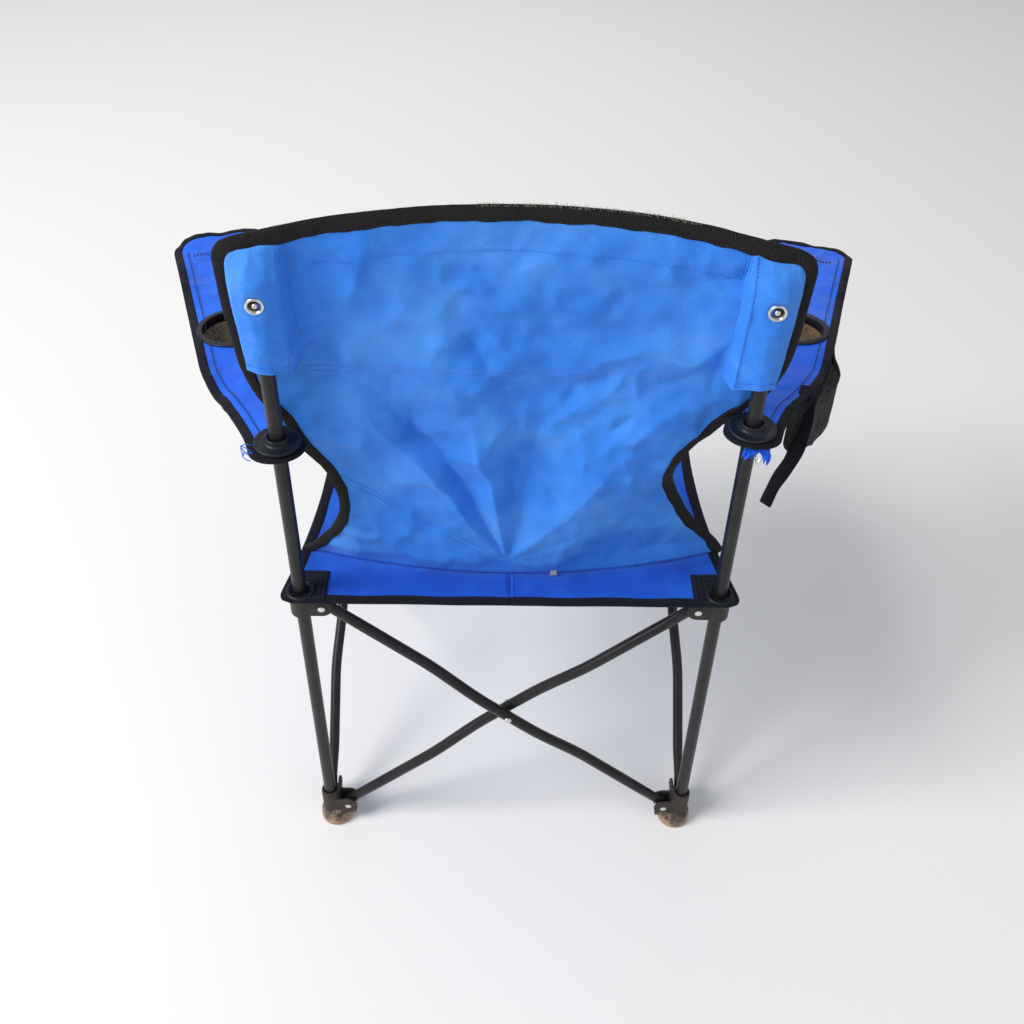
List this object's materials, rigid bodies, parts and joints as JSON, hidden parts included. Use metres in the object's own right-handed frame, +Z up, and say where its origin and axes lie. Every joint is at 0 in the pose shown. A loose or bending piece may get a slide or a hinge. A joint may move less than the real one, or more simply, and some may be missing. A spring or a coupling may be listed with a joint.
{
  "type": "folding camp chair",
  "caption": "Folding camp chair: four crossed tube pairs and two tall posts carry a blue cloth seat, back and armrests with netting cup holders.",
  "frame": {"origin": "on the floor, midway between the four feet", "axes": "+Z up; the seat faces -Y; the sitter's left is +X"},
  "size_m": [0.905, 0.552, 0.955],
  "materials": {
    "black_steel": "black powder coat, semi-gloss, worn at the edges",
    "rivet_steel": "bare zinc-plated steel",
    "foot_plastic": "moulded black plastic, stained brown by dirt",
    "hub_plastic": "moulded black plastic",
    "collar_plastic": "moulded navy-black plastic",
    "blue_cloth": "bright blue woven polyester with black bound edges",
    "black_binding": "black twill tape",
    "cup_mesh": "open brown-black netting",
    "black_mesh": "black netting and webbing"
  },
  "bodies": {
    "rear_left_post": {"foot_rear_left": "foot_plastic", "post_left": "black_steel", "post_cap_left": "hub_plastic", "arm_collar_left": "collar_plastic", "back_panel": "blue_cloth", "post_sleeve_left": "blue_cloth", "sleeve_screw_left": "rivet_steel", "rivet_rear_tube_1_foot": "rivet_steel", "rivet_left_tube_1_foot": "rivet_steel"},
    "rear_right_post": {"foot_rear_right": "foot_plastic", "post_right": "black_steel", "post_cap_right": "hub_plastic", "arm_collar_right": "collar_plastic", "post_sleeve_right": "blue_cloth", "sleeve_screw_right": "rivet_steel", "rivet_rear_tube_2_foot": "rivet_steel", "rivet_right_tube_1_foot": "rivet_steel"},
    "front_left_foot": {"foot_front_left": "foot_plastic", "rivet_left_tube_2_foot": "rivet_steel", "rivet_front_tube_1_foot": "rivet_steel"},
    "front_right_foot": {"foot_front_right": "foot_plastic", "rivet_front_tube_2_foot": "rivet_steel", "rivet_right_tube_2_foot": "rivet_steel"},
    "rear_left_hub": {"hub_rear_left": "hub_plastic", "rivet_rear_tube_2_hub": "rivet_steel", "rivet_left_tube_2_hub": "rivet_steel"},
    "rear_right_hub": {"hub_rear_right": "hub_plastic", "rivet_rear_tube_1_hub": "rivet_steel", "rivet_right_tube_2_hub": "rivet_steel"},
    "front_left_hub": {"hub_front_left": "hub_plastic", "rivet_left_tube_1_hub": "rivet_steel", "rivet_front_tube_2_hub": "rivet_steel"},
    "front_right_hub": {"hub_front_right": "hub_plastic", "rivet_front_tube_1_hub": "rivet_steel", "rivet_right_tube_1_hub": "rivet_steel"},
    "rear_tube_1": {"rear_tube_1": "black_steel", "cross_rivet_rear": "rivet_steel"},
    "rear_tube_2": {"rear_tube_2": "black_steel"},
    "front_tube_1": {"front_tube_1": "black_steel", "cross_rivet_front": "rivet_steel", "arm_cap_right": "hub_plastic"},
    "front_tube_2": {"front_tube_2": "black_steel", "arm_cap_left": "hub_plastic"},
    "left_tube_1": {"left_tube_1": "black_steel", "cross_rivet_left": "rivet_steel"},
    "left_tube_2": {"left_tube_2": "black_steel"},
    "right_tube_1": {"right_tube_1": "black_steel", "cross_rivet_right": "rivet_steel"},
    "right_tube_2": {"right_tube_2": "black_steel"},
    "seat_left": {"seat_left": "blue_cloth"},
    "seat_right": {"seat_right": "blue_cloth"},
    "arm_left": {"armrest_left": "blue_cloth", "cup_holder_left": "cup_mesh"},
    "arm_right": {"armrest_right": "blue_cloth", "cup_holder_right": "cup_mesh", "side_pocket": "black_mesh"}
  },
  "joints": [
    {"name": "fold", "type": "hinge", "parent": "rear_left_post", "child": "rear_tube_1", "pos_m": [0.221, 0.245, 0.035], "axis": [0, 1, 0], "range_deg": [0, 42], "deforming": ["seat_left", "seat_right", "back_panel", "armrest_left", "cup_holder_left", "armrest_right", "cup_holder_right", "side_pocket"]},
    {"name": "rear_right_hub_turn", "type": "hinge", "parent": "rear_tube_1", "child": "rear_right_hub", "pos_m": [-0.221, 0.245, 0.445], "axis": [0, 1, 0], "range_deg": [-42, 0]},
    {"name": "rear_crossing_turn", "type": "hinge", "parent": "rear_tube_1", "child": "rear_tube_2", "pos_m": [0, 0.245, 0.24], "axis": [0, 1, 0], "range_deg": [-84, 0]},
    {"name": "rear_right_foot_turn", "type": "hinge", "parent": "rear_tube_2", "child": "rear_right_post", "pos_m": [-0.221, 0.245, 0.035], "axis": [0, 1, 0], "range_deg": [0, 42]},
    {"name": "rear_left_hub_turn", "type": "hinge", "parent": "rear_tube_2", "child": "rear_left_hub", "pos_m": [0.221, 0.245, 0.445], "axis": [0, 1, 0], "range_deg": [0, 42]},
    {"name": "left_tube_1_turn", "type": "hinge", "parent": "rear_left_post", "child": "left_tube_1", "pos_m": [0.245, 0.221, 0.035], "axis": [-1, 0, 0], "range_deg": [0, 42]},
    {"name": "front_left_hub_turn", "type": "hinge", "parent": "left_tube_1", "child": "front_left_hub", "pos_m": [0.245, -0.221, 0.445], "axis": [-1, 0, 0], "range_deg": [-42, 0]},
    {"name": "left_crossing_turn", "type": "hinge", "parent": "left_tube_1", "child": "left_tube_2", "pos_m": [0.245, 0, 0.24], "axis": [-1, 0, 0], "range_deg": [-84, 0]},
    {"name": "front_left_foot_turn", "type": "hinge", "parent": "left_tube_2", "child": "front_left_foot", "pos_m": [0.245, -0.221, 0.035], "axis": [-1, 0, 0], "range_deg": [0, 42]},
    {"name": "front_tube_1_turn", "type": "hinge", "parent": "front_left_foot", "child": "front_tube_1", "pos_m": [0.221, -0.245, 0.035], "axis": [0, 1, 0], "range_deg": [0, 42]},
    {"name": "front_right_hub_turn", "type": "hinge", "parent": "front_tube_1", "child": "front_right_hub", "pos_m": [-0.221, -0.245, 0.445], "axis": [0, 1, 0], "range_deg": [-42, 0]},
    {"name": "front_crossing_turn", "type": "hinge", "parent": "front_tube_1", "child": "front_tube_2", "pos_m": [0, -0.245, 0.24], "axis": [0, 1, 0], "range_deg": [-84, 0]},
    {"name": "front_right_foot_turn", "type": "hinge", "parent": "front_tube_2", "child": "front_right_foot", "pos_m": [-0.221, -0.245, 0.035], "axis": [0, 1, 0], "range_deg": [0, 42]},
    {"name": "right_tube_1_turn", "type": "hinge", "parent": "rear_right_post", "child": "right_tube_1", "pos_m": [-0.245, 0.221, 0.035], "axis": [-1, 0, 0], "range_deg": [0, 42]},
    {"name": "right_crossing_turn", "type": "hinge", "parent": "right_tube_1", "child": "right_tube_2", "pos_m": [-0.245, 0, 0.24], "axis": [-1, 0, 0], "range_deg": [-84, 0]},
    {"name": "seat_left_drop", "type": "hinge", "parent": "rear_left_hub", "child": "seat_left", "pos_m": [0.245, 0.245, 0.462], "axis": [0, 1, 0], "range_deg": [-77.97, 0]},
    {"name": "seat_right_drop", "type": "hinge", "parent": "rear_right_hub", "child": "seat_right", "pos_m": [-0.245, 0.245, 0.462], "axis": [0, 1, 0], "range_deg": [0, 77.97]},
    {"name": "arm_left_rise", "type": "hinge", "parent": "rear_left_post", "child": "arm_left", "pos_m": [0.245, 0.245, 0.682], "axis": [-0.9462, -0.2848, -0.1538], "range_deg": [0, 70.58]},
    {"name": "arm_right_rise", "type": "hinge", "parent": "rear_right_post", "child": "arm_right", "pos_m": [-0.245, 0.245, 0.708], "axis": [-0.9465, 0.274, 0.1704], "range_deg": [0, 70.25]}
  ],
  "couplings": [
    {"joint": "rear_right_hub_turn", "follows": "fold", "ratio": -1},
    {"joint": "rear_crossing_turn", "follows": "fold", "ratio": -2},
    {"joint": "rear_right_foot_turn", "follows": "fold", "ratio": 1},
    {"joint": "rear_left_hub_turn", "follows": "fold", "ratio": 1},
    {"joint": "left_tube_1_turn", "follows": "fold", "ratio": 1},
    {"joint": "front_left_hub_turn", "follows": "fold", "ratio": -1},
    {"joint": "left_crossing_turn", "follows": "fold", "ratio": -2},
    {"joint": "front_left_foot_turn", "follows": "fold", "ratio": 1},
    {"joint": "front_tube_1_turn", "follows": "fold", "ratio": 1},
    {"joint": "front_right_hub_turn", "follows": "fold", "ratio": -1},
    {"joint": "front_crossing_turn", "follows": "fold", "ratio": -2},
    {"joint": "front_right_foot_turn", "follows": "fold", "ratio": 1},
    {"joint": "right_tube_1_turn", "follows": "fold", "ratio": 1},
    {"joint": "right_crossing_turn", "follows": "fold", "ratio": -2},
    {"joint": "seat_left_drop", "follows": "fold", "ratio": -1.8564},
    {"joint": "seat_right_drop", "follows": "fold", "ratio": 1.8564},
    {"joint": "arm_left_rise", "follows": "fold", "ratio": 1.6805},
    {"joint": "arm_right_rise", "follows": "fold", "ratio": 1.6726}
  ]
}
